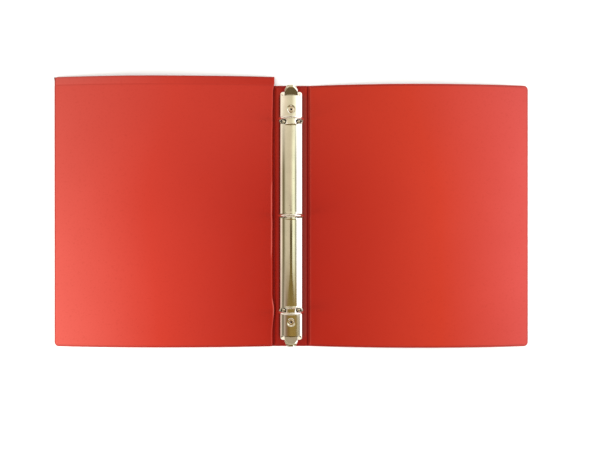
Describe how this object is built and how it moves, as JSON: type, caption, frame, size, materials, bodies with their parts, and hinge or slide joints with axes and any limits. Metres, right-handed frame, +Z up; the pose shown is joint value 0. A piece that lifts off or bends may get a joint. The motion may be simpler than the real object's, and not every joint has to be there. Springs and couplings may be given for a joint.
{
  "type": "three-ring binder",
  "caption": "Ring binder lying open: bowed red vinyl covers hinged to a spine, a plated ring mechanism opened by end triggers, and a loose pocket panel on the front cover.",
  "frame": {"origin": "centre of the spine's back face, which lies on the table when the binder is open", "axes": "+X across the open binder towards the free edge of the rear cover, +Y up the spine to the end where the pocket panel stands past the cover, +Z up through the rings"},
  "size_m": [0.5492, 0.312, 0.0318],
  "materials": {
    "red_vinyl": "satin",
    "pocket_vinyl": "satin",
    "grey_board": "matte",
    "shell_nickel": "polished",
    "ring_nickel": "polished",
    "rail_steel": "satin",
    "rivet_nickel": "polished",
    "trigger_nickel": "polished"
  },
  "bodies": {
    "spine": {"spine_outer_skin": "red_vinyl", "spine_board": "grey_board", "spine_inner_skin": "red_vinyl", "ring_shell": "shell_nickel", "top_rivet": "rivet_nickel", "bottom_rivet": "rivet_nickel"},
    "front_cover": {"front_outer_skin": "red_vinyl", "front_board": "grey_board", "front_inner_skin": "red_vinyl", "front_pocket_panel": "pocket_vinyl", "front_hinge_strip": "red_vinyl"},
    "rear_cover": {"rear_outer_skin": "red_vinyl", "rear_board": "grey_board", "rear_inner_skin": "red_vinyl", "rear_hinge_strip": "red_vinyl"},
    "left_rings": {"left_rail": "rail_steel", "left_ring_top": "ring_nickel", "left_ring_middle": "ring_nickel", "left_ring_bottom": "ring_nickel"},
    "right_rings": {"right_rail": "rail_steel", "right_ring_top": "ring_nickel", "right_ring_middle": "ring_nickel", "right_ring_bottom": "ring_nickel"},
    "top_trigger": {"top_trigger": "trigger_nickel"},
    "bottom_trigger": {"bottom_trigger": "trigger_nickel"}
  },
  "joints": [
    {"name": "front_cover_hinge", "type": "hinge", "parent": "spine", "child": "front_cover", "pos_m": [-0.02, 0, 0.0015], "axis": [0, 1, 0], "range_deg": [-90, 86], "deforming": ["front_hinge_strip"]},
    {"name": "rear_cover_hinge", "type": "hinge", "parent": "spine", "child": "rear_cover", "pos_m": [0.02, 0, 0.0015], "axis": [0, -1, 0], "range_deg": [-90, 86], "deforming": ["rear_hinge_strip"]},
    {"name": "left_ring_hinge", "type": "hinge", "parent": "spine", "child": "left_rings", "pos_m": [-0.0109, 0, 0.0057], "axis": [0, -1, 0], "range_deg": [0, 11]},
    {"name": "right_ring_hinge", "type": "hinge", "parent": "spine", "child": "right_rings", "pos_m": [0.0109, 0, 0.0057], "axis": [0, 1, 0], "range_deg": [0, 11]},
    {"name": "top_trigger_hinge", "type": "hinge", "parent": "spine", "child": "top_trigger", "pos_m": [0, 0.1403, 0.0052], "axis": [-1, 0, 0], "range_deg": [0, 24]},
    {"name": "bottom_trigger_hinge", "type": "hinge", "parent": "spine", "child": "bottom_trigger", "pos_m": [0, -0.1403, 0.0052], "axis": [1, 0, 0], "range_deg": [0, 24]}
  ],
  "couplings": [
    {"joint": "right_ring_hinge", "follows": "left_ring_hinge", "ratio": 1},
    {"joint": "top_trigger_hinge", "follows": "left_ring_hinge", "ratio": 2.18},
    {"joint": "bottom_trigger_hinge", "follows": "left_ring_hinge", "ratio": 2.18}
  ]
}
